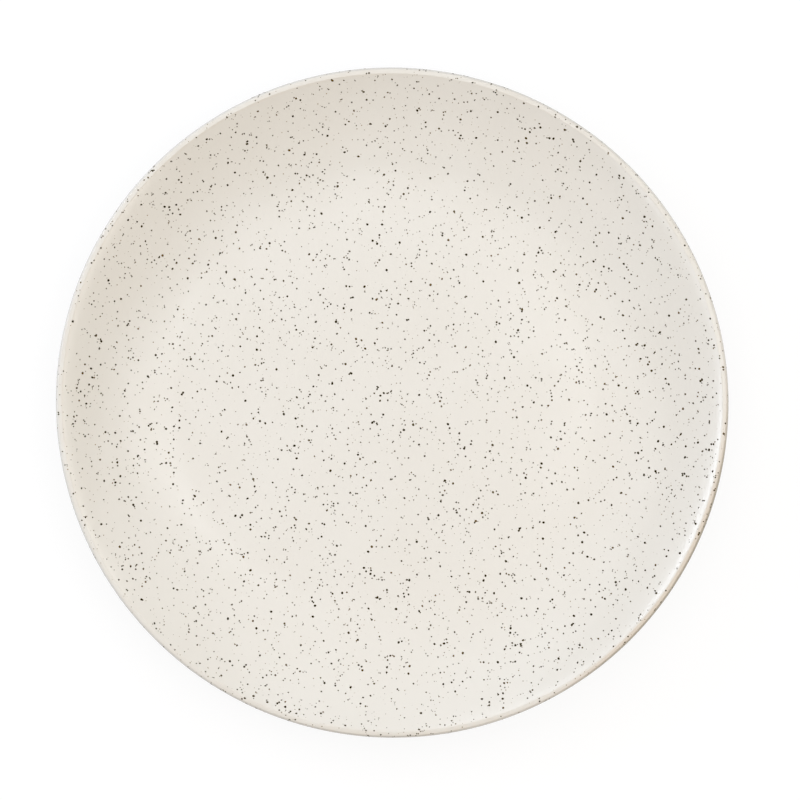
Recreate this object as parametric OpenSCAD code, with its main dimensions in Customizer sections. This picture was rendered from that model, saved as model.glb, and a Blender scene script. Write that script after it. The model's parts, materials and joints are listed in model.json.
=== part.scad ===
// Coupe dinner plate: a rimless stoneware dish with a flat floor that sweeps up in one
// curve to a rounded lip, a foot ring below it, and a fired glaze over all but the foot.
// Every piece is one section turned about the Z axis. Z = 0 is the table.

/* [Plate] */
// Overall diameter over the glazed lip
plate_d = 270; // [250:1:290]
// Overall height from the table to the top of the glazed lip
plate_h = 26; // [23:0.5:32]
// Diameter of the flat floor of the dish
well_d = 160; // [130:1:180]

/* [Clay walls] */
// Thickness of the clay floor
floor_t = 5.5; // [4.5:0.1:7]
// Thickness of the clay wall at the lip, which is rounded to a half circle
rim_t = 3.2; // [2.6:0.1:4.2]

/* [Foot ring] */
// Diameter of the foot ring along the middle of its standing face
foot_d = 150; // [120:1:160]
// Width of the flat face that stands on the table
foot_face_w = 4; // [3:0.1:6]
// Height of the foot ring below the clay floor
foot_h = 3.5; // [3.1:0.1:5]
// Lean of the foot ring's two sides, which make it wider at its root
foot_draft = 15; // [5:1:25]
// Rounding of the two edges of the standing face
foot_edge_r = 0.8; // [0.4:0.1:1]
// Fillet where each side of the foot ring runs into the underside
foot_fillet_r = 1.5; // [1:0.1:1.8]

/* [Glaze] */
// Thickness of the fired glaze
glaze_t = 0.4; // [0.3:0.05:0.6]
// Height of the wiped edge of the glaze on both sides of the foot ring
glaze_line_h = 1.5; // [1:0.1:1.7]

/* [Hidden] */

// Sides of every turned piece
$fn = 256;
// Largest distance between an arc of the section and its chords
arc_error = 0.01;

// Levels of the clay's two floor faces
underside_z = foot_h;
floor_z = underside_z + floor_t;

// Half circle of the lip: its glaze touches the plate's overall width and height
lip_r = rim_t / 2;
lip_c = [plate_d / 2 - glaze_t - lip_r, plate_h - glaze_t - lip_r];

// Foot ring: the edge rounds and fillets of one side are tangent to the same leaning line
foot_lean = [cos(foot_draft), -sin(foot_draft)];
foot_spread = (foot_edge_r + foot_fillet_r
    + (foot_h - foot_edge_r - foot_fillet_r) * sin(foot_draft)) / cos(foot_draft);
foot_outer_r = foot_d / 2 + foot_face_w / 2;

// Curve of the face: tangent to the floor at its edge, and to the lip from inside
face_run = lip_c[0] - well_d / 2;
face_rise = lip_c[1] - floor_z;
face_r = (face_run ^ 2 + face_rise ^ 2 - lip_r ^ 2) / (2 * (face_rise + lip_r));
face_c = [well_d / 2, floor_z + face_r];
face_end = atan2(lip_c[1] - face_c[1], lip_c[0] - face_c[0]);

// Curve of the back: tangent to the underside where the fillet ends, and round the lip
back_start_r = foot_outer_r + foot_spread;
back_run = lip_c[0] - back_start_r;
back_rise = lip_c[1] - underside_z;
back_r = (back_run ^ 2 + back_rise ^ 2 - lip_r ^ 2) / (2 * (back_rise - lip_r));
back_c = [back_start_r, underside_z + back_r];
back_end = atan2(lip_c[1] - back_c[1], lip_c[0] - back_c[0]);

// Points of an arc from angle a0 to angle a1, with chords that stay within arc_error
function arc(c, r, a0, a1) =
    let (steps = max(2, ceil(abs(a1 - a0) / (2 * acos(1 - arc_error / r)))))
    [for (i = [0 : steps]) let (a = a0 + (a1 - a0) * i / steps) c + r * [cos(a), sin(a)]];

// The same points in the opposite order
function backwards(path) = [for (i = [len(path) - 1 : -1 : 0]) path[i]];

// The same points on the other side of the radius r
function mirrored(path, r) = [for (p = path) [2 * r - p[0], p[1]]];

// Floor, face curve, lip and back curve, from the axis to the foot, t above the clay
function dish_path(t) = concat(
    [[0, floor_z + t]],
    arc(face_c, face_r - t, -90, face_end),
    arc(lip_c, lip_r + t, face_end + 180, back_end),
    arc(back_c, back_r + t, back_end, -90)
);

// Fillet on the outer side of the foot ring, from the underside down, t above the clay
function fillet_path(t) = arc(
    [back_start_r, underside_z - foot_fillet_r], foot_fillet_r - t, 90, 180 - foot_draft);

// Edge round on the outer side of the foot ring, down to the standing face
function edge_path() = arc([foot_outer_r, foot_edge_r], foot_edge_r, -foot_draft, -90);

// End of the glaze on the outer side of the foot ring, t above the clay
function glaze_end(t) =
    let (edge = edge_path()[0], climb = glaze_line_h - edge[1])
    [edge + climb * [tan(foot_draft), 1] + t * foot_lean];

// Outer side of the foot ring that the glaze covers, from the underside down
function covered_path(t) = concat(fillet_path(t), glaze_end(t));

// Path without the points that repeat the one before, as where two arcs meet
function without_repeats(path) = [
    for (i = [0 : len(path) - 1])
        if (i == 0 || norm(path[i] - path[i - 1]) > arc_error / 10) path[i]
];

// Solid turned from a closed path of radius and height
module turned(path) {
    rotate_extrude() polygon(without_repeats(path));
}

// The fired clay: floor, coupe wall, half-round lip and foot ring in one piece
module stoneware_body() {
    foot_side = concat(fillet_path(0), edge_path());
    foot_inside = backwards(mirrored(foot_side, foot_d / 2));
    color([0.72, 0.6, 0.46])
        turned(concat(dish_path(0), foot_side, foot_inside, [[0, underside_z]]));
}

// The glaze over the face, round the lip and down the back to its wiped edge on the foot
module glaze_coat() {
    clay = concat(dish_path(0), covered_path(0));
    face = concat(dish_path(glaze_t), covered_path(glaze_t));
    color([0.92, 0.9, 0.86])
        turned(concat(face, backwards(clay)));
}

// The separate pool of glaze inside the foot ring
module foot_well_glaze() {
    clay = concat([[0, underside_z]], mirrored(covered_path(0), foot_d / 2));
    face = concat([[0, underside_z - glaze_t]], mirrored(covered_path(glaze_t), foot_d / 2));
    color([0.9, 0.87, 0.82])
        turned(concat(face, backwards(clay)));
}

stoneware_body();
glaze_coat();
foot_well_glaze();
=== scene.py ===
# %% [markdown]
# # A speckled coupe plate
# The object is a stoneware dinner plate without a separate rim: its flat floor sweeps up in
# one curve to a rounded lip. A warm white glaze with dark iron specks covers everything but
# the foot ring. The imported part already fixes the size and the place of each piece, so we
# load it first and keep its box. Whatever we model later has to stay inside that box.

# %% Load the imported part
import json
import math
import random

import bmesh
import bpy
from mathutils import Matrix, Vector, noise
from mathutils.bvhtree import BVHTree


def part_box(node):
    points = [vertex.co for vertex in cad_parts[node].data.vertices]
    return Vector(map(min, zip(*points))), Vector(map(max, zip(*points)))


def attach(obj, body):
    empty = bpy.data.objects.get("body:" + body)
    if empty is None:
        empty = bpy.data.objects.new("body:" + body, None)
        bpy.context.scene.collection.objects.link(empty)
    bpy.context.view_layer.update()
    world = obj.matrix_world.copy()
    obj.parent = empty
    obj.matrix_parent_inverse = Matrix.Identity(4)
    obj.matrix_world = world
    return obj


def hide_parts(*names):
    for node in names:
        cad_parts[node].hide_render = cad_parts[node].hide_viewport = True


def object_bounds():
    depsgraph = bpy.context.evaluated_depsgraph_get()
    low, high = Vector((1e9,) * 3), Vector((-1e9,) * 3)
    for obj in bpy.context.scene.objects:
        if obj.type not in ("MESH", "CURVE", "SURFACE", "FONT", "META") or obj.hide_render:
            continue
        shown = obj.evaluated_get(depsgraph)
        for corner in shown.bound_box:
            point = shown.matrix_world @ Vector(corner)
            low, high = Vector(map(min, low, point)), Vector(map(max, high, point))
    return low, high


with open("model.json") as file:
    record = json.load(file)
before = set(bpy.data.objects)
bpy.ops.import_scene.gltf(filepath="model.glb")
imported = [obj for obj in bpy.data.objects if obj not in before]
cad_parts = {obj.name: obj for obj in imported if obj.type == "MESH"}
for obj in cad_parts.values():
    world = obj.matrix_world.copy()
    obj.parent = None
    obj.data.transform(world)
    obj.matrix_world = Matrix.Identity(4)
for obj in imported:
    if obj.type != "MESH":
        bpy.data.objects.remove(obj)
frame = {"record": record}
cad_low, cad_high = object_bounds()
print("CAD box in mm:", [round(1000 * side, 2) for side in cad_high - cad_low])

# %% [markdown]
# ## The camera
# The plate is seen from straight above, a little off the middle of the picture. We could
# shift the lens to frame it so, but moving the camera sideways does the same and keeps the
# lens plain for other views. A long lens from far away flattens the dish as a product
# photograph does. Its focal length follows from the width that the plate has to fill.

# %% Overhead camera
MM = 0.001
PICTURE = 800                       # pixels along each side of the picture
PLATE_PIXELS = 337.3                # radius of the plate in the picture
PLATE_OFF = Vector((-7.8, -2.6))    # the plate's middle from the picture's, right and up
CAMERA_Z = 1600 * MM

lens_data = bpy.data.cameras.new("overhead_camera")
rim_distance = CAMERA_Z - cad_high.z
pixel = cad_high.x / PLATE_PIXELS   # metres that one pixel covers at the lip
lens_data.lens = lens_data.sensor_width * rim_distance / (PICTURE * pixel)
camera = bpy.data.objects.new("overhead_camera", lens_data)
camera.location = (-PLATE_OFF.x * pixel, -PLATE_OFF.y * pixel, CAMERA_Z)
bpy.context.scene.collection.objects.link(camera)
bpy.context.scene.camera = camera
print("lens in mm:", round(lens_data.lens, 1))

# %% [markdown]
# ## The section
# A turned dish is described by its section: half of the plate, cut through the middle. A
# potter holds a rib of that shape against the turning clay. The main sizes are read from the
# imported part, so the drawing follows it. The few that its boxes cannot tell are written here.

# %% Sizes of the section
coat_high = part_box("glaze_coat")[1]
mounts = {mount["name"]: Vector(mount["pos_m"]) for mount in frame["record"]["mounts"]}
glaze_t = coat_high.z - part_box("stoneware_body")[1].z
floor_z = mounts["dish_floor"].z - glaze_t          # clay floor of the dish
underside_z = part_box("foot_well_glaze")[1].z        # clay above the foot well
foot_r = mounts["foot_face"].x                      # middle of the standing face
well_r = 80 * MM                                    # edge of the flat floor
lip_r = 1.6 * MM                                    # half of the clay wall at the lip
foot_face_w = 4 * MM
foot_edge_r = 0.8 * MM
foot_fillet_r = 1.5 * MM
foot_draft = math.radians(15)
glaze_line_z = 1.5 * MM                             # where the glaze was wiped off
print("glaze in mm:", round(glaze_t / MM, 3), "underside at", round(underside_z / MM, 3))

# %% [markdown]
# Every curve of the section is an arc of a circle. Two arcs run smoothly into each other when
# their two centres and the point where they meet are on one line. That rule gives the radius
# of the face and of the back: both are level at the floor and touch the round of the lip.

# %% Compass centres
def flat(x, z):
    """A point of the section: x out from the axis, z up."""
    return Vector((x, 0, z))


def angle_to(centre, point):
    return math.atan2(point.z - centre.z, point.x - centre.x)


lip_c = flat(coat_high.x - glaze_t - lip_r, coat_high.z - glaze_t - lip_r)

run, rise = lip_c.x - well_r, lip_c.z - floor_z
face_r = (run ** 2 + rise ** 2 - lip_r ** 2) / (2 * (rise + lip_r))
face_c = flat(well_r, floor_z + face_r)

straight_side = underside_z - foot_edge_r - foot_fillet_r
foot_spread = (foot_edge_r + foot_fillet_r + straight_side * math.sin(foot_draft))
foot_spread = foot_spread / math.cos(foot_draft)
foot_outer_r = foot_r + foot_face_w / 2
fillet_c = flat(foot_outer_r + foot_spread, underside_z - foot_fillet_r)

run, rise = lip_c.x - fillet_c.x, lip_c.z - underside_z
back_r = (run ** 2 + rise ** 2 - lip_r ** 2) / (2 * (rise - lip_r))
back_c = flat(fillet_c.x, underside_z + back_r)
print("face radius in mm:", round(face_r / MM, 2), "back radius:", round(back_r / MM, 2))

# %% [markdown]
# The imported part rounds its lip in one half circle, which fixes the two large arcs. On the
# plate itself the lip is less even, and light shows it: the inner edge is crisp, the top is
# almost flat, and below a soft corner the outside leans out to the widest place. We draw five
# small arcs in place of the half circle: edge, top, corner, side and under. Each starts in
# the direction in which the one before it ends. The under arc touches the full width and the
# back, and the radius of the side follows from the corner it leaves and the under arc it joins.

# %% Five arcs of the lip
EDGE_R, TOP_R, CORNER_R, UNDER_R = 0.1 * MM, 8.2 * MM, 0.4 * MM, 0.5 * MM    # in the clay
TOP_TURN, CORNER_TURN = math.radians(8), math.radians(46)


def facing(turn):
    """The direction that leans outwards from straight up by an angle."""
    return flat(math.sin(turn), math.cos(turn))


lip_top, lip_side = lip_c.z + lip_r, lip_c.x + lip_r
from_face = face_r + EDGE_R
face_turn = math.acos((face_c.z - lip_top + EDGE_R) / from_face)
edge_c = flat(face_c.x + from_face * math.sin(face_turn), lip_top - EDGE_R)
top_c = flat(edge_c.x, lip_top - TOP_R)
corner_c = top_c + (TOP_R - CORNER_R) * facing(TOP_TURN)

under_x = lip_side - UNDER_R
under_drop = math.sqrt((back_r - UNDER_R) ** 2 - (under_x - back_c.x) ** 2)
under_c = flat(under_x, back_c.z - under_drop)

lean = TOP_TURN + CORNER_TURN                       # where the corner ends and the side starts
from_under = corner_c + CORNER_R * facing(lean) - under_c
side_r = from_under.length_squared - UNDER_R ** 2
side_r = side_r / (2 * (from_under.dot(facing(lean)) - UNDER_R))
side_c = corner_c + (CORNER_R - side_r) * facing(lean)
side_turn = math.pi / 2 - angle_to(side_c, under_c) - lean
back_turn = angle_to(back_c, under_c) + math.pi / 2
under_turn = math.pi - back_turn - side_turn - lean
print("side radius in mm:", round(side_r / MM, 2))
print("side turn in degrees:", round(math.degrees(side_turn), 1))

# %% [markdown]
# Blender draws the section for us. Extruding one vertex gives a straight line, and spinning
# one vertex about a centre gives an arc, exactly as a compass does. A full spin about the
# upright axis then turns the finished line into a dish. The points on the axis come out once
# for each step of the spin, so they are merged, and the normals are worked out after that.

# %% Straight edge, compass and wheel
SPOKES = 288


def straight(bm, end, x, z, steps=1):
    """Draws on from the vertex end in a straight line, and returns the new end."""
    step = (flat(x, z) - end.co) / steps
    for _ in range(steps):
        end = bmesh.ops.extrude_vert_indiv(bm, verts=[end])["verts"][0]
        bmesh.ops.translate(bm, vec=step, verts=[end])
    return end


def swing(bm, end, centre, angle, steps):
    """Draws on from the vertex end along an arc, to the left if the angle is positive."""
    drawn = bmesh.ops.spin(bm, geom=[end], cent=centre, axis=(0, -1, 0), angle=angle,
                           steps=steps, use_merge=False)
    return next(item for item in drawn["geom_last"] if isinstance(item, bmesh.types.BMVert))


def turn_on_wheel(bm):
    """Turns the drawn line about the upright axis into a closed shape."""
    bmesh.ops.remove_doubles(bm, verts=bm.verts, dist=0.001 * MM)
    bmesh.ops.spin(bm, geom=bm.verts[:] + bm.edges[:], cent=(0, 0, 0), axis=(0, 0, 1),
                   angle=2 * math.pi, steps=SPOKES, use_merge=True)
    bmesh.ops.remove_doubles(bm, verts=bm.verts, dist=0.001 * MM)
    bmesh.ops.recalc_face_normals(bm, faces=bm.faces)


# %% [markdown]
# The clay, the glaze on it and the inside of the glaze all follow the same few lines, only at
# another height above the clay. So one helper draws floor, face, lip, back and fillet at any
# height, and a second one finds the foot's leaning side at any level. The end of the face is
# drawn in finer steps: smooth shading blends the normals of neighbours, and with a long step
# beside the sharp edge the light would slide off it too early.

# %% Lines that clay and glaze share
FACE_END = math.radians(1.5)          # the last of the face, drawn finer


def dish_line(bm, height, floor_steps=20):
    """Draws from the axis over the face, the lip and the back to the foot's leaning side."""
    end = bm.verts.new(flat(0, floor_z + height))
    end = straight(bm, end, well_r, floor_z + height, floor_steps)
    end = swing(bm, end, face_c, face_turn - FACE_END, 24)
    end = swing(bm, end, face_c, FACE_END, 6)
    end = swing(bm, end, edge_c, -face_turn, 6)
    end = swing(bm, end, top_c, -TOP_TURN, 6)
    end = swing(bm, end, corner_c, -CORNER_TURN, 10)
    end = swing(bm, end, side_c, -side_turn, 8)
    end = swing(bm, end, under_c, -under_turn, 8)
    end = swing(bm, end, back_c, -back_turn, 24)
    return swing(bm, end, fillet_c, math.pi / 2 - foot_draft, 8)


def foot_side(z, height=0.0):
    """Where the foot's outer side is at the level z, height above the clay."""
    top = foot_edge_r * (1 - math.sin(foot_draft))
    x = foot_outer_r + foot_edge_r * math.cos(foot_draft) + (z - top) * math.tan(foot_draft)
    return flat(x, z) + height * flat(math.cos(foot_draft), -math.sin(foot_draft))


def mirrored(point):
    """The same place on the inner side of the foot ring."""
    return flat(2 * foot_r - point.x, point.z)


print("glaze line on the foot, mm:", [round(c / MM, 2) for c in foot_side(glaze_line_z)])

# %% [markdown]
# ## The fired clay
# Under the glaze is one piece of buff stoneware. Only the foot ring shows, where the glaze was
# wiped off so that the plate would not stick to the kiln shelf. We still turn the whole body,
# because the foot then grows out of the floor as it does on a real plate, and no inside of the
# glaze can be seen past it.

# %% Turn the clay body
def clay_section(bm):
    end = dish_line(bm, 0)
    foot_edge_c = flat(foot_outer_r, foot_edge_r)
    side_end = foot_side(foot_edge_r * (1 - math.sin(foot_draft)))
    end = straight(bm, end, side_end.x, side_end.z, 4)
    end = swing(bm, end, foot_edge_c, foot_draft - math.pi / 2, 8)
    end = straight(bm, end, foot_r - foot_face_w / 2, 0, 6)
    end = swing(bm, end, mirrored(foot_edge_c), foot_draft - math.pi / 2, 8)
    inner_fillet = mirrored(fillet_c)
    across = flat(math.cos(foot_draft), math.sin(foot_draft))
    fillet_start = inner_fillet + foot_fillet_r * across
    end = straight(bm, end, fillet_start.x, fillet_start.z, 4)
    end = swing(bm, end, inner_fillet, math.pi / 2 - foot_draft, 8)
    straight(bm, end, 0, underside_z, 10)


clay = bmesh.new()
clay_section(clay)
turn_on_wheel(clay)
print("clay faces:", len(clay.faces), "open edges:", sum(e.is_boundary for e in clay.edges))

# %% [markdown]
# ## The glaze over the dish
# The glaze is a skin less than half a millimetre thick. It runs over the face, round the lip
# and down the back, and ends in a soft rounded edge on the foot ring. We draw its outside,
# swing the end round in a half circle, and draw its inside on the clay. Marks on the vertices
# of the outside survive the spin. They tell us later which side the eye can see, and how far
# each vertex is from the middle, measured along the skin.

# %% Turn the glaze skin
def wiped_edge(bm, end, place):
    """Rounds the end of the glaze, from its outside to the clay, in a half circle."""
    turn = -math.pi if place(glaze_line_z).x > foot_r else math.pi
    middle = (place(glaze_line_z, glaze_t) + place(glaze_line_z)) / 2
    return swing(bm, end, middle, turn, 8)


def new_skin():
    """An empty mesh for a glaze, with room for two marks on each vertex."""
    bm = bmesh.new()
    return bm, bm.verts.layers.int.new("outside"), bm.verts.layers.float.new("along")


def mark_line(bm, outside, along):
    """Marks the line drawn so far as the outside, and returns its length."""
    length, last = 0.0, bm.verts[:][0].co
    for vertex in bm.verts:
        length += (vertex.co - last).length
        vertex[outside], vertex[along], last = 1, length, vertex.co
    return length


glaze, outside, along = new_skin()
glaze_end = foot_side(glaze_line_z, glaze_t)
end = straight(glaze, dish_line(glaze, glaze_t), glaze_end.x, glaze_end.z, 3)
wiped_edge(glaze, end, foot_side)
skin_length = mark_line(glaze, outside, along)
to_widest = max(glaze.verts, key=lambda vertex: vertex.co.x)[along]
clay_end = foot_side(glaze_line_z)
straight(glaze, dish_line(glaze, 0, 4), clay_end.x, clay_end.z, 3)
turn_on_wheel(glaze)
print("glaze faces:", len(glaze.faces), "open edges:", sum(e.is_boundary for e in glaze.edges))
print("mm along the skin:", round(skin_length / MM, 1), "to the lip:", round(to_widest / MM, 1))

# %% [markdown]
# ## The glaze in the foot well
# Inside the foot ring lies a separate pool of the same glaze, which most people only see when
# they wash up. It is drawn in the same way, as the mirror image of the outer side of the foot.

# %% Turn the pool in the foot well
def inner_side(z, height=0.0):
    return mirrored(foot_side(z, height))


def well_line(bm, height, steps):
    """Draws from the axis along the underside and down the foot's inner side."""
    end = bm.verts.new(flat(0, underside_z - height))
    end = straight(bm, end, mirrored(fillet_c).x, underside_z - height, steps)
    end = swing(bm, end, mirrored(fillet_c), foot_draft - math.pi / 2, 8)
    stop = inner_side(glaze_line_z, height)
    return straight(bm, end, stop.x, stop.z, 3)


well, well_outside, well_along = new_skin()
wiped_edge(well, well_line(well, glaze_t, 20), inner_side)
well_length = mark_line(well, well_outside, well_along)
well_line(well, 0, 4)
turn_on_wheel(well)
print("well faces:", len(well.faces), "open edges:", sum(e.is_boundary for e in well.edges))

# %% [markdown]
# ## Small faults of a fired plate
# No plate leaves the kiln perfectly round. This one is a trace narrower one way than the other,
# its lip dips a little, and the molten glaze settled in shallow waves that only show where
# light slides over them. A scale in a turned space does the first, and moving vertices by
# smooth noise does the rest. All of it goes inwards, so the plate stays in its box, and the
# waves leave room for the specks that come next.

# %% Warp and waves
NARROW = 0.995                        # the short diameter as a share of the long one
LONG_WAY = math.radians(-20)          # direction of the long diameter
LIP_DIP = 0.25 * MM
DIP_TURN = 0.6                        # direction of one of the two dips, in radians
WAVE_LENGTH = 24 * MM
WAVE_DEPTH = 0.045 * MM
SPECK_ROOM = 0.035 * MM


def warp(bm):
    """Makes a piece a trace oval and lets its lip dip in two places."""
    bmesh.ops.scale(bm, vec=(1, NARROW, 1), verts=bm.verts,
                    space=Matrix.Rotation(-LONG_WAY, 4, "Z"))
    for vertex in bm.verts:
        reach = max(0, (vertex.co.xy.length - well_r) / (coat_high.x - well_r))
        turn = math.atan2(vertex.co.y, vertex.co.x) - DIP_TURN
        dip = 0.5 + 0.5 * math.cos(2 * turn)
        vertex.co.z -= LIP_DIP * dip * reach ** 2


def let_settle(bm, mark):
    """Moves the outside of a glaze inwards in shallow waves."""
    bm.normal_update()
    for vertex in bm.verts:
        if vertex[mark]:
            wave = 0.5 + 0.5 * noise.noise(vertex.co / WAVE_LENGTH)
            vertex.co -= vertex.normal * (SPECK_ROOM + WAVE_DEPTH * wave)


for bm in (clay, glaze, well):
    warp(bm)
let_settle(glaze, outside)
let_settle(well, well_outside)
print("highest glaze in mm:", round(max(v.co.z for v in glaze.verts) / MM, 3))

# %% [markdown]
# ## Iron specks
# The specks are grains of iron in the clay and the glaze that melt into dark dots in the kiln.
# A texture can draw them, but their edges turn soft as soon as a texture is baked, so every
# speck that the eye can pick out is a small flattened grain of its own. About seven lie on
# each square centimetre. Most are tiny and a few reach a millimetre, which a Weibull draw
# gives. Now and then two sit together.

# %% One grain
GRAIN_HALF_T = 0.03 * MM
GRAIN_OVERSIZE = 1.2                  # a sunk icosphere shows less than its full width
GRAIN_LONGER = (1.0, 1.15)            # how much longer than wide a grain may be
GRAIN_UNEVEN = (0.90, 1.08)           # how far in or out a corner of it may lie


def flake(bm, size, draw):
    """Makes a flat, uneven grain at the origin. Its core is 1 at the crown, 0 at the edge."""
    longer = draw.uniform(*GRAIN_LONGER)
    half = size / 2 * GRAIN_OVERSIZE
    turn = Matrix.Rotation(draw.uniform(0, math.pi), 4, "Z")
    shape = Matrix.Diagonal((half * longer, half / longer, GRAIN_HALF_T, 1))
    grain = bmesh.ops.create_icosphere(bm, subdivisions=1, radius=1, matrix=turn @ shape)
    core = bm.verts.layers.float["core"]
    for vertex in grain["verts"]:
        vertex[core] = 1.0 if vertex.co.xy.length < half / 2 else 0.0
        vertex.co.xy *= draw.uniform(*GRAIN_UNEVEN)
    return grain["verts"]


def press(grain, skin, place, normal):
    """Lays a grain on a glaze, so that each of its vertices follows the surface."""
    lie = Matrix.Translation(place) @ normal.to_track_quat("Z", "Y").to_matrix().to_4x4()
    for vertex in grain:
        spot, up, _, _ = skin.find_nearest(lie @ Vector((vertex.co.x, vertex.co.y, 0)))
        vertex.co = spot + up * vertex.co.z


print("grain thickness in mm:", 2 * GRAIN_HALF_T / MM)

# %% [markdown]
# The grains are strewn evenly: a face of the glaze is drawn by lot, a large one more often than
# a small one, and the grain lands somewhere on it. Blender's mesh operators slow down as a mesh
# grows, so we make the grains by the handful and pour every handful into the full mesh. The
# same operators may number faces and corners differently in another run, so both are sorted by
# their place before the draw: then every run strews the same grains.

# %% Scatter the grains
SPECKS_PER_M2 = 6.3e4
SMALLEST_SPECK = 0.33 * MM
SPECK_SPREAD = 0.30 * MM
SPECK_SHAPE = 1.65
LARGEST_SPECK = 1.00 * MM
TWIN_CHANCE = 0.16
TWIN_GAP = (0.8, 1.8)                 # in sizes of the first grain
TWIN_SIZE = (0.5, 0.9)
HANDFUL = 60
GRAIN_FACES = 20                      # an icosphere has twenty


def by_place(point):
    """A key that sorts points by their place, to a thousandth of a millimetre."""
    return tuple(round(side / (0.001 * MM)) for side in point)


def spot_on(face, draw):
    """A random place on a face with three or four corners."""
    corners = [corner.co for corner in face.verts]
    first = corners.index(min(corners, key=by_place))
    corners = corners[first:] + corners[:first]
    across, along = draw.random(), draw.random()
    if len(corners) == 3:
        across, along = (across, along) if across + along < 1 else (1 - across, 1 - along)
        one_way, other_way = corners[1] - corners[0], corners[2] - corners[0]
        return corners[0] + one_way * across + other_way * along
    near = corners[0].lerp(corners[1], across)
    return near.lerp(corners[3].lerp(corners[2], across), along)


def strew(bm, skin, face, draw):
    """Adds one speck on a face, and now and then a smaller one beside it."""
    size = SMALLEST_SPECK + draw.weibullvariate(SPECK_SPREAD, SPECK_SHAPE)
    size = min(size, LARGEST_SPECK)
    place = spot_on(face, draw)
    press(flake(bm, size, draw), skin, place, face.normal)
    if draw.random() < TWIN_CHANCE:
        aside = face.normal.orthogonal().normalized() * size * draw.uniform(*TWIN_GAP)
        aside.rotate(Matrix.Rotation(draw.uniform(0, 2 * math.pi), 3, face.normal))
        twin = flake(bm, size * draw.uniform(*TWIN_SIZE), draw)
        press(twin, skin, place + aside, face.normal)


def scatter(bm, faces, seed):
    """A new mesh with grains strewn over some faces of a glaze."""
    draw = random.Random(seed)
    skin = BVHTree.FromBMesh(bm)
    faces = sorted(faces, key=lambda face: by_place(face.calc_center_median()))
    areas = [face.calc_area() for face in faces]
    chosen = draw.choices(faces, areas, k=round(sum(areas) * SPECKS_PER_M2))
    grains = bmesh.new()
    grains.verts.layers.float.new("core")
    scoop = bpy.data.meshes.new("scoop")
    for first in range(0, len(chosen), HANDFUL):
        handful = bmesh.new()
        handful.verts.layers.float.new("core")
        for face in chosen[first:first + HANDFUL]:
            strew(handful, skin, face, draw)
        handful.to_mesh(scoop)
        handful.free()
        grains.from_mesh(scoop)
    bpy.data.meshes.remove(scoop)
    return grains


def outside_faces(bm, mark):
    return [face for face in bm.faces if all(vertex[mark] for vertex in face.verts)]


for bm in (glaze, well):
    bm.normal_update()
dish_faces = outside_faces(glaze, outside)
speck_sets = {
    "iron_specks_face": scatter(glaze, [f for f in dish_faces if f.normal.z > 0], 11),
    "iron_specks_back": scatter(glaze, [f for f in dish_faces if f.normal.z <= 0], 12),
    "iron_specks_foot_well": scatter(well, outside_faces(well, well_outside), 13),
}
for name, grains in speck_sets.items():
    print(name, len(grains.faces) // GRAIN_FACES, "grains")

# %% [markdown]
# ## Flat maps for baking
# Other programs cannot read our node patterns, so an export bakes them into pictures, and a UV
# map says where each face lies in the picture. Blender could unwrap the skin by itself, but it
# would give the hidden side as much room as the face, and cut the lip into strips. We know how
# far along the skin each vertex is, so we lay the skin flat like a peel: the face in one disc
# of the map, the back in another, and the hidden side small in a corner. The grains are so flat
# that a plain view from above does for them.

# %% Lay the skins flat
WHOLE_MAP = (0.50, 0.50, 0.98)        # middle and width of a disc on the map
FACE_DISC = (0.31, 0.31, 0.60)
BACK_DISC = (0.72, 0.72, 0.54)
CORNER_DISC = (0.93, 0.07, 0.10)


def lay(face, flat_map, disc, share):
    """Lays a face in a disc of the map. A corner's share of the disc's radius is asked for."""
    x, y, width = disc
    for corner in face.loops:
        out = corner.vert.co.xy.normalized() * share(corner.vert) * width / 2
        corner[flat_map].uv = (x + out.x, y + out.y)


def lay_all(bm, choose):
    """Lays out a mesh: choose gives the disc and the share for each face."""
    flat_map = bm.loops.layers.uv.new("OFBake")
    for face in bm.faces:
        lay(face, flat_map, *choose(face))


def from_above(reach):
    return lambda vertex: vertex.co.xy.length / reach


def choose_on_dish(face):
    if not all(vertex[outside] for vertex in face.verts):
        return CORNER_DISC, from_above(coat_high.x)
    if max(vertex[along] for vertex in face.verts) <= to_widest:
        return FACE_DISC, lambda vertex: vertex[along] / to_widest
    edge = foot_outer_r + skin_length
    return BACK_DISC, lambda vertex: (edge - vertex[along]) / (edge - to_widest)


def choose_in_well(face):
    if not all(vertex[well_outside] for vertex in face.verts):
        return CORNER_DISC, from_above(foot_r)
    return WHOLE_MAP, lambda vertex: vertex[well_along] / well_length


def choose_on_clay(face):
    bare_top = underside_z - foot_fillet_r + 0.3 * MM     # a little way into the fillet
    if max(vertex.co.z for vertex in face.verts) < bare_top:
        return WHOLE_MAP, from_above(fillet_c.x)
    return CORNER_DISC, from_above(coat_high.x)


lay_all(glaze, choose_on_dish)
lay_all(well, choose_in_well)
lay_all(clay, choose_on_clay)
for grains in speck_sets.values():
    seen = from_above(max(vertex.co.xy.length for vertex in grains.verts))
    lay_all(grains, lambda face: (WHOLE_MAP, seen))
print("maps laid out:", 3 + len(speck_sets))

# %% [markdown]
# ## From drawings to pieces
# Each mesh becomes an object at the origin, smooth shaded, that rides on the plate's one body.
# The clay and the two glazes stand for three imported solids, which are then hidden. The
# specks have no imported solid behind them.

# %% Make the pieces
def make_piece(bm, name, node=None):
    mesh = bpy.data.meshes.new(name)
    bm.to_mesh(mesh)
    bm.free()
    mesh.shade_smooth()
    piece = bpy.data.objects.new(name, mesh)
    bpy.context.scene.collection.objects.link(piece)
    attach(piece, "root")
    if node:
        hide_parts(node)
    return piece


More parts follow.
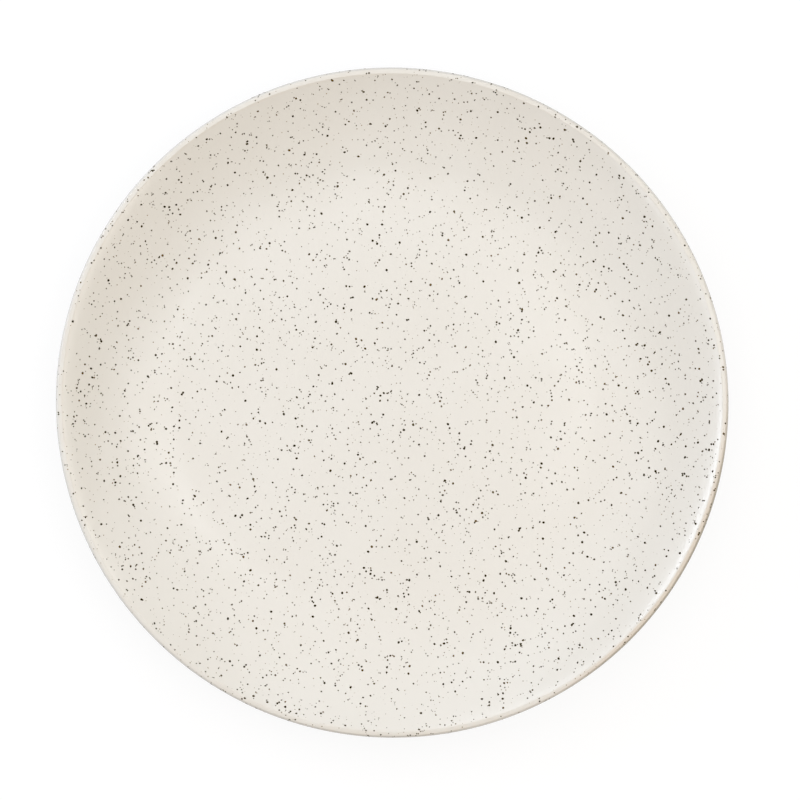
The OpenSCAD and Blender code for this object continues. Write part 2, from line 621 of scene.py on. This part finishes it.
plate_clay = make_piece(clay, "plate_clay", "stoneware_body")
plate_glaze = make_piece(glaze, "plate_glaze", "glaze_coat")
well_glaze = make_piece(well, "well_glaze", "foot_well_glaze")
speck_pieces = [make_piece(bm, name) for name, bm in speck_sets.items()]
for piece in [plate_clay, plate_glaze, well_glaze, *speck_pieces]:
    print(piece.name, len(piece.data.polygons), "faces")

# %% [markdown]
# ## Tools for the finishes
# Materials are graphs of nodes. Three small helpers keep the code that builds them short: one
# adds any node and fills its sockets, with a value or a link, one does arithmetic and one
# mixes two colours.

# %% Node helpers
def put(tree, kind, settings=None, **sockets):
    """Adds a node. A socket's name has _ for each space, and takes a value or an output."""
    made = tree.nodes.new("ShaderNode" + kind)
    for name, value in (settings or {}).items():
        setattr(made, name, value)
    for name, value in sockets.items():
        fill(tree, made.inputs[name.replace("_", " ")], value)
    return made


def fill(tree, socket, value):
    if isinstance(value, bpy.types.NodeSocket):
        tree.links.new(value, socket)
    else:
        socket.default_value = value


def maths(tree, operation, *values):
    made = put(tree, "Math", {"operation": operation})
    for socket, value in zip(made.inputs, values):
        fill(tree, socket, value)
    return made.outputs[0]


def mix_colours(tree, share, first, second):
    made = put(tree, "Mix", {"data_type": "RGBA"})
    for index, value in ((0, share), (6, first), (7, second)):
        fill(tree, made.inputs[index], value)
    return made.outputs[2]


def ease(tree, value, low, high, to_low=0.0, to_high=1.0):
    """A smooth step from to_low, at low, to to_high, at high."""
    return put(tree, "MapRange", {"interpolation_type": "SMOOTHSTEP"}, Value=value,
               From_Min=low, From_Max=high, To_Min=to_low, To_Max=to_high).outputs[0]


def from_axis(tree, position):
    """How far a place is from the upright axis."""
    level = put(tree, "VectorMath", {"operation": "MULTIPLY"})
    fill(tree, level.inputs[0], position)
    fill(tree, level.inputs[1], (1, 1, 0))
    distance = put(tree, "VectorMath", {"operation": "LENGTH"})
    fill(tree, distance.inputs[0], level.outputs[0])
    return distance.outputs["Value"]


def new_group(name, inputs, outputs):
    """A shader node group with named sockets, and its two end nodes."""
    tree = bpy.data.node_groups.new(name, "ShaderNodeTree")
    for label, value in inputs.items():
        kind = "NodeSocketVector" if value is None else "NodeSocketFloat"
        socket = tree.interface.new_socket(label, in_out="INPUT", socket_type=kind)
        if value is not None:
            socket.default_value = value
    for label in outputs:
        tree.interface.new_socket(label, in_out="OUTPUT", socket_type="NodeSocketFloat")
    return tree, tree.nodes.new("NodeGroupInput"), tree.nodes.new("NodeGroupOutput")


print("node helpers ready")

# %% [markdown]
# The dust between the grains, too fine to model, is a pattern. A Voronoi texture fills space
# with cells around random points. Where the surface passes close to such a point we see a dot,
# so the dots have no seams and no direction, on the flat floor and round the lip alike. The
# cell's random colour decides whether it has a dot at all, how big it is and how dark. Glaze
# and clay both use it, each with its own sizes, so it is a node group.

# %% Group: iron dust
DOT_CORE = 0.7                        # share of a dot's radius that is fully dark
DOT_RARITY = 2.0                      # the higher, the fewer large dots

dust, dust_in, dust_out = new_group(
    "Iron dust",
    {"Position": None, "Cells per metre": 600.0, "Share of cells": 1.0,
     "Smallest radius": 0.05 * MM, "Largest radius": 0.15 * MM},
    ("Mask", "Tone"))
cell = put(dust, "TexVoronoi", Vector=dust_in.outputs["Position"],
           Scale=dust_in.outputs["Cells per metre"])
chance = put(dust, "SeparateColor", Color=cell.outputs["Color"])
rarity = maths(dust, "POWER", chance.outputs["Red"], DOT_RARITY)
radius = put(dust, "MapRange", Value=rarity, To_Min=dust_in.outputs["Smallest radius"],
             To_Max=dust_in.outputs["Largest radius"]).outputs[0]
reach = maths(dust, "MULTIPLY", radius, dust_in.outputs["Cells per metre"])
core = maths(dust, "MULTIPLY", reach, DOT_CORE)
dot = ease(dust, cell.outputs["Distance"], reach, core)
here = maths(dust, "LESS_THAN", chance.outputs["Green"], dust_in.outputs["Share of cells"])
dust.links.new(maths(dust, "MULTIPLY", dot, here), dust_out.inputs["Mask"])
dust.links.new(chance.outputs["Blue"], dust_out.inputs["Tone"])
print(dust.name, [socket.name for socket in dust.interface.items_tree])

# %% [markdown]
# A glaze is never one even tone. Where it lay thicker it is whiter, where it ran thin the warm
# clay comes through. Soft clouds of noise do that, and the same clouds let the clay's colour
# drift. The skin of a fired glaze also has a faint orange-peel ripple, a few millimetres long
# and hundredths deep, which breaks up every reflection. The potter's wheel and sponge leave
# rings, which depend on nothing but the distance from the axis. All three are groups as well.

# %% Groups: kiln clouds, orange peel and wheel rings
clouds, clouds_in, clouds_out = new_group(
    "Kiln clouds", {"Position": None, "Cloud length": 30 * MM}, ("Cloud",))
cloud_scale = maths(clouds, "DIVIDE", 1.0, clouds_in.outputs["Cloud length"])
cloud = put(clouds, "TexNoise", Vector=clouds_in.outputs["Position"], Scale=cloud_scale,
            Detail=3.0, Roughness=0.55)
clouds.links.new(ease(clouds, cloud.outputs["Fac"], 0.3, 0.7), clouds_out.inputs["Cloud"])

peel, peel_in, peel_out = new_group(
    "Orange peel", {"Position": None, "Ripple length": 3 * MM}, ("Height",))
peel_scale = maths(peel, "DIVIDE", 1.0, peel_in.outputs["Ripple length"])
ripple = put(peel, "TexNoise", Vector=peel_in.outputs["Position"], Scale=peel_scale,
             Detail=1.0, Roughness=0.4)
peel.links.new(ripple.outputs["Fac"], peel_out.inputs["Height"])

rings, rings_in, rings_out = new_group(
    "Wheel rings", {"Position": None, "Ring width": 5 * MM}, ("Height",))
distance = from_axis(rings, rings_in.outputs["Position"])
ring_count = maths(rings, "DIVIDE", distance, rings_in.outputs["Ring width"])
groove = put(rings, "TexNoise", {"noise_dimensions": "1D"}, W=ring_count, Scale=1.0, Detail=2.0)
rings.links.new(groove.outputs["Fac"], rings_out.inputs["Height"])
print([group.name for group in (clouds, peel, rings)])

# %% [markdown]
# A group works like one node: it is placed in a material and its sockets are filled. Every
# finish also starts in the same way, from an empty material and the object's own coordinates.
# These stay with the plate wherever it goes, so that no pattern slides over it. Two helpers
# do both.

# %% Place a group in a material
def use_group(tree, group, **sockets):
    made = tree.nodes.new("ShaderNodeGroup")
    made.node_tree = group
    for name, value in sockets.items():
        fill(tree, made.inputs[name.replace("_", " ")], value)
    return made.outputs


def new_finish(name):
    """An empty material: its tree, its surface shader and the object's own coordinates."""
    finish = bpy.data.materials.new(name)
    finish.use_nodes = True
    tree = finish.node_tree
    shader = tree.nodes["Principled BSDF"]
    return finish, tree, shader, put(tree, "TexCoord").outputs["Object"]


print("groups can be placed")

# %% [markdown]
# ## The speckled glaze
# The glaze is a warm off-white with a soft gloss. Its colour is built up in layers: the white
# itself with drifting warmth, the clay that shines through where the glaze is thin, at the
# crown of the lip and beside the wiped edge, faint specks that stayed deep in it, and dust at
# the surface. On the side that faces away from the windows, painted shade darkens the lip:
# the top is painted beige there and the edge olive. A few pinholes, where a bubble burst,
# catch the light.

# %% Glaze finish
GLAZE_WHITE = (0.783, 0.755, 0.694, 1)
GLAZE_WARM = (0.769, 0.738, 0.674, 1)
# thin glaze over the clay; the same tone is also painted shade on the top of the lip on one
# side
GLAZE_THIN_AND_SHADE = (0.640, 0.520, 0.390, 1)
# the olive of the painted shade on the edge of the lip, on that side
EDGE_SHADE_OLIVE = (0.330, 0.285, 0.195, 1)
SHADED_SIDE = math.radians(-30)         # the side of the lip where shade is painted, away from the windows
DUST_DARK = (0.055, 0.036, 0.005, 1)
DUST_BROWN = (0.245, 0.152, 0.025, 1)
DEEP_SHOWS, DUST_SHOWS = 0.16, 0.85   # how strongly deep specks and dust colour the glaze
THIN_PATCH = (0.25, 1.0)              # thin places come and go between these shares
CROWN_Z = (25.1 * MM, 25.9 * MM)      # the glaze thins over these heights of the lip
WIPED_Z = (2.6 * MM, 1.3 * MM)        # and over these on the foot
SHADE_REACH = (105 * MM, 134 * MM)       # how far out on that side the painted shade starts, and is full
TOP_SHADE_R = (132.4 * MM, 132.8 * MM)  # where painted shade turns the top of the lip beige
EDGE_SHADE_R = (133.4 * MM, 134.5 * MM)   # where painted shade turns its edge olive
# how far the crown thins, and how strong the painted shade is on the top and on the edge of the
# lip
CROWN_THIN, TOP_SHADE, EDGE_SHADE = 0.12, 0.55, 0.80


def glaze_colour(tree, position, drift):
    """The glaze's colour: white, warmth, thin places, painted shade on one side of the lip,
    deep specks and dust.
    """
    colour = mix_colours(tree, drift, GLAZE_WHITE, GLAZE_WARM)
    height = put(tree, "SeparateXYZ", Vector=position).outputs["Z"]
    crown = ease(tree, height, *CROWN_Z, 0.0, CROWN_THIN)
    wiped = ease(tree, height, *WIPED_Z)
    thin_and_shade = maths(tree, "MAXIMUM", crown, wiped)
    patch = use_group(tree, clouds, Position=position, Cloud_length=9 * MM)["Cloud"]
    thin_and_shade = maths(tree, "MULTIPLY", thin_and_shade, ease(tree, patch, 0.0, 1.0, *THIN_PATCH))
    distance = from_axis(tree, position)
    # Painted shade: on the side away from the windows the top of the lip turns beige and its
    # edge olive.
    side = put(tree, "VectorMath", {"operation": "DOT_PRODUCT"})
    fill(tree, side.inputs[0], position)
    fill(tree, side.inputs[1], (math.cos(SHADED_SIDE), math.sin(SHADED_SIDE), 0))
    shaded_side = ease(tree, side.outputs["Value"], *SHADE_REACH)
    top_shade = maths(tree, "MULTIPLY", shaded_side,
                    ease(tree, distance, *TOP_SHADE_R, 0.0, TOP_SHADE))
    thin_and_shade = maths(tree, "MAXIMUM", thin_and_shade, top_shade)
    colour = mix_colours(tree, thin_and_shade, colour, GLAZE_THIN_AND_SHADE)
    edge_shade = maths(tree, "MULTIPLY", shaded_side,
                   ease(tree, distance, *EDGE_SHADE_R, 0.0, EDGE_SHADE))
    colour = mix_colours(tree, edge_shade, colour, EDGE_SHADE_OLIVE)
    deep = use_group(tree, dust, Position=position, Cells_per_metre=330.0, Share_of_cells=0.8,
                     Smallest_radius=0.15 * MM, Largest_radius=0.42 * MM)
    sunk = maths(tree, "MULTIPLY", deep["Mask"], DEEP_SHOWS)
    colour = mix_colours(tree, sunk, colour, DUST_BROWN)
    fine = use_group(tree, dust, Position=position, Cells_per_metre=570.0, Share_of_cells=1.0,
                     Smallest_radius=0.16 * MM, Largest_radius=0.30 * MM)
    tint = mix_colours(tree, fine["Tone"], DUST_DARK, DUST_BROWN)
    return mix_colours(tree, maths(tree, "MULTIPLY", fine["Mask"], DUST_SHOWS), colour, tint)


def dent(tree, height, depth, before=None, **settings):
    """A bump of some depth, on top of an earlier one if there is one."""
    made = put(tree, "Bump", settings, Height=height, Strength=1.0, Distance=depth)
    if before:
        fill(tree, made.inputs["Normal"], before)
    return made.outputs[0]


GLAZE_GLOSS = (0.15, 0.19)            # roughness, drifting with the colour
PEEL_DEPTH, PINHOLE_DEPTH = 0.022 * MM, 0.10 * MM


def glaze_finish(name, ring_depth=0.0):
    finish, tree, shader, position = new_finish(name)
    drift = use_group(tree, clouds, Position=position, Cloud_length=34 * MM)["Cloud"]
    fill(tree, shader.inputs["Base Color"], glaze_colour(tree, position, drift))
    fill(tree, shader.inputs["Roughness"], ease(tree, drift, 0.0, 1.0, *GLAZE_GLOSS))
    ripple = use_group(tree, peel, Position=position, Ripple_length=3.2 * MM)["Height"]
    skin = dent(tree, ripple, PEEL_DEPTH)
    pinholes = use_group(tree, dust, Position=position, Cells_per_metre=130.0,
                         Share_of_cells=0.10, Smallest_radius=0.3 * MM,
                         Largest_radius=0.7 * MM)["Mask"]
    skin = dent(tree, pinholes, PINHOLE_DEPTH, skin, invert=True)
    if ring_depth:
        turned = use_group(tree, rings, Position=position, Ring_width=5 * MM)["Height"]
        skin = dent(tree, turned, ring_depth, skin)
    fill(tree, shader.inputs["Normal"], skin)
    return finish


plate_glaze.data.materials.append(glaze_finish("dish_glaze"))
well_glaze.data.materials.append(glaze_finish("foot_well_glaze", ring_depth=0.05 * MM))
print([m.name for piece in (plate_glaze, well_glaze) for m in piece.data.materials])

# %% [markdown]
# ## The iron grains
# Looked at closely the specks are not all black: most are a black brown, some olive, some rust,
# as iron comes out with more or less air in the kiln. Voronoi cells wider than the grains give
# each grain a colour of its own, and a color ramp deals out the four tones. Round every grain
# the iron bleeds into the glaze as a thin olive rim. The value that we stored on the vertices
# tells the core from the rim.

# %% Speck finish
SPECK_TONES = ((0.00, (0.005, 0.003, 0.001, 1)), (0.70, (0.016, 0.009, 0.002, 1)),
               (0.88, (0.100, 0.066, 0.014, 1)), (0.97, (0.165, 0.086, 0.018, 1)))
SPECK_RIM = (0.100, 0.076, 0.006, 1)
RIM_TO_CORE = (0.05, 0.45)            # where the stored value leaves the rim, and is core
GRAIN_CELLS = 700.0                   # colour cells per metre, wider than the grains

speck_finish, tree, shader, position = new_finish("iron_specks")
grain_cell = put(tree, "TexVoronoi", Vector=position, Scale=GRAIN_CELLS)
lot = put(tree, "SeparateColor", Color=grain_cell.outputs["Color"]).outputs["Red"]
tones = put(tree, "ValToRGB", Fac=lot)
while len(tones.color_ramp.elements) < len(SPECK_TONES):
    tones.color_ramp.elements.new(0.5)
for element, (start, tone) in zip(tones.color_ramp.elements, SPECK_TONES):
    element.position, element.color = start, tone
stored = put(tree, "Attribute", {"attribute_name": "core"}).outputs["Fac"]
inner = ease(tree, stored, *RIM_TO_CORE)
colour = mix_colours(tree, inner, SPECK_RIM, tones.outputs["Color"])
fill(tree, shader.inputs["Base Color"], colour)
shader.inputs["Roughness"].default_value = 0.45
shader.inputs["Specular IOR Level"].default_value = 0.05
for piece in speck_pieces:
    piece.data.materials.append(speck_finish)
print(speck_finish.name, len(tones.color_ramp.elements), "tones")

# %% [markdown]
# ## The bare clay
# The foot ring is buff stoneware as it came from the kiln: matt, slightly sandy, with the same
# iron in it, a toasted line where the glaze ends and faint lines round the ring where a wet
# sponge wiped it clean.

# %% Clay finish
CLAY_BUFF = (0.520, 0.395, 0.265, 1)
CLAY_PALE = (0.590, 0.470, 0.340, 1)
CLAY_TOASTED = (0.400, 0.225, 0.105, 1)
CLAY_MATT = (0.78, 0.92)              # roughness
TOASTED_Z = (0.9 * MM, 1.5 * MM)      # heights over which the clay turns darker
TOASTED, GRIT_SHOWS = 0.7, 0.8
SAND_GRAIN, SAND_DEPTH, SPONGE_DEPTH = 0.35 * MM, 0.05 * MM, 0.06 * MM

clay_finish, tree, shader, position = new_finish("buff_clay")
drift = use_group(tree, clouds, Position=position, Cloud_length=12 * MM)["Cloud"]
colour = mix_colours(tree, drift, CLAY_BUFF, CLAY_PALE)
height = put(tree, "SeparateXYZ", Vector=position).outputs["Z"]
toasted = ease(tree, height, *TOASTED_Z, 0.0, TOASTED)
colour = mix_colours(tree, toasted, colour, CLAY_TOASTED)
grit = use_group(tree, dust, Position=position, Cells_per_metre=900.0, Share_of_cells=0.9,
                 Smallest_radius=0.08 * MM, Largest_radius=0.32 * MM)
tint = mix_colours(tree, grit["Tone"], DUST_DARK, DUST_BROWN)
colour = mix_colours(tree, maths(tree, "MULTIPLY", grit["Mask"], GRIT_SHOWS), colour, tint)
fill(tree, shader.inputs["Base Color"], colour)
fill(tree, shader.inputs["Roughness"], ease(tree, drift, 0.0, 1.0, *CLAY_MATT))
sand = put(tree, "TexNoise", Vector=position, Scale=1 / SAND_GRAIN, Detail=2.0)
sponged = use_group(tree, rings, Position=position, Ring_width=0.6 * MM)["Height"]
skin = dent(tree, sand.outputs["Fac"], SAND_DEPTH)
skin = dent(tree, sponged, SPONGE_DEPTH, skin)
fill(tree, shader.inputs["Normal"], skin)
plate_clay.data.materials.append(clay_finish)
print(clay_finish.name)

# %% [markdown]
# ## Light and floor
# A wide soft light hangs over the table, a little to its far side, and a small one beside it
# gives the left slope a soft sheen. Daylight comes in low from the left through a row of three
# windows. The slope opposite mirrors them as a glow beside the lip, and two low cards at the
# right do the same, more faintly, on the left. Each of these faces the plate, because one long
# flat light would sink towards its ends as the lip sees it. A warm fill from the near side
# keeps the far slope from turning grey. None of them is in the picture itself.

# %% Softboxes
def softbox(name, azimuth, elevation, distance, width, height, brightness, colour):
    """An area light that faces the plate. Brightness 1 looks as bright as white paper."""
    lamp = bpy.data.lights.new(name, "AREA")
    lamp.shape = "RECTANGLE"
    lamp.size, lamp.size_y = width, height
    lamp.energy = brightness * math.pi * width * height
    lamp.color = colour
    turn, lift = math.radians(azimuth), math.radians(elevation)
    towards = Vector((math.cos(turn) * math.cos(lift), math.sin(turn) * math.cos(lift),
                      math.sin(lift)))
    box = bpy.data.objects.new(name, lamp)
    box.location = towards * distance
    box.rotation_euler = towards.to_track_quat("Z", "Y").to_euler()
    box.visible_camera = False
    bpy.context.scene.collection.objects.link(box)
    return box


# azimuth and elevation in degrees; distance, width and height in metres; brightness; colour
softboxes = [
    softbox("overhead_wide", 70, 59, 1.7, 2.7, 3.2, 0.740, (1.0, 1.025, 1.065)),
    softbox("overhead_middle", 4.5, 74, 1.6, 0.3, 0.67, 1.45, (1.0, 1.03, 1.08)),
    softbox("window_far", 119, 24.9, 1.6, 1.15, 0.26, 2.7, (1.0, 1.06, 1.17)),
    softbox("window_middle", 163, 23.6, 1.6, 1.25, 0.34, 7.1, (1.0, 1.08, 1.23)),
    softbox("window_near", 208, 26.7, 1.6, 1.15, 0.14, 4.1, (1.0, 1.04, 1.10)),
    softbox("warm_fill", 281, 43, 1.6, 2.8, 1.6, 0.48, (1.0, 0.86, 0.75)),
    softbox("side_card_far", 15, 25.3, 1.6, 1.1, 0.24, 4.6, (1.0, 0.97, 0.92)),
    softbox("side_card_near", -24, 26.5, 1.6, 1.1, 0.16, 5.2, (1.0, 0.97, 0.92)),
]
print("lights:", [box.name for box in softboxes])

# %% [markdown]
# The floor and the room are white to the camera and in reflections, and that white is not cast
# on the plate as light. A part of the floor is an ordinary matt surface, so the plate keeps its
# soft shadow.

# %% White floor and room
FLOOR_GREY = (0.18, 0.18, 0.18, 1)
FLOOR_GLOW = 0.85
ROOM_LIGHT = (0.261, 0.242, 0.215, 1)


def seen_directly(tree):
    """1 for rays from the camera, from reflections and through glass, else 0."""
    path = put(tree, "LightPath").outputs
    seen = maths(tree, "MAXIMUM", path["Is Camera Ray"], path["Is Glossy Ray"])
    return maths(tree, "MAXIMUM", seen, path["Is Transmission Ray"])


sheet = bmesh.new()
bmesh.ops.create_grid(sheet, x_segments=1, y_segments=1, size=6.0)
floor_mesh = bpy.data.meshes.new("floor")
sheet.to_mesh(floor_mesh)
sheet.free()
floor = bpy.data.objects.new("floor", floor_mesh)
bpy.context.scene.collection.objects.link(floor)

paper = bpy.data.materials.new("white_floor")
paper.use_nodes = True
tree = paper.node_tree
tree.nodes.remove(tree.nodes["Principled BSDF"])
matt = put(tree, "BsdfDiffuse", Color=FLOOR_GREY)
glow = put(tree, "Emission", Strength=maths(tree, "MULTIPLY", seen_directly(tree), FLOOR_GLOW))
both = tree.nodes.new("ShaderNodeAddShader")
tree.links.new(matt.outputs[0], both.inputs[0])
tree.links.new(glow.outputs[0], both.inputs[1])
tree.links.new(both.outputs[0], tree.nodes["Material Output"].inputs["Surface"])
floor_mesh.materials.append(paper)

room = bpy.data.worlds.new("white_room")
bpy.context.scene.world = room
room.use_nodes = True
tree = room.node_tree
background = tree.nodes["Background"]
fill(tree, background.inputs["Color"],
     mix_colours(tree, seen_directly(tree), ROOM_LIGHT, (1, 1, 1, 1)))
bpy.context.scene.view_settings.view_transform = "Standard"
print("floor and room are white")
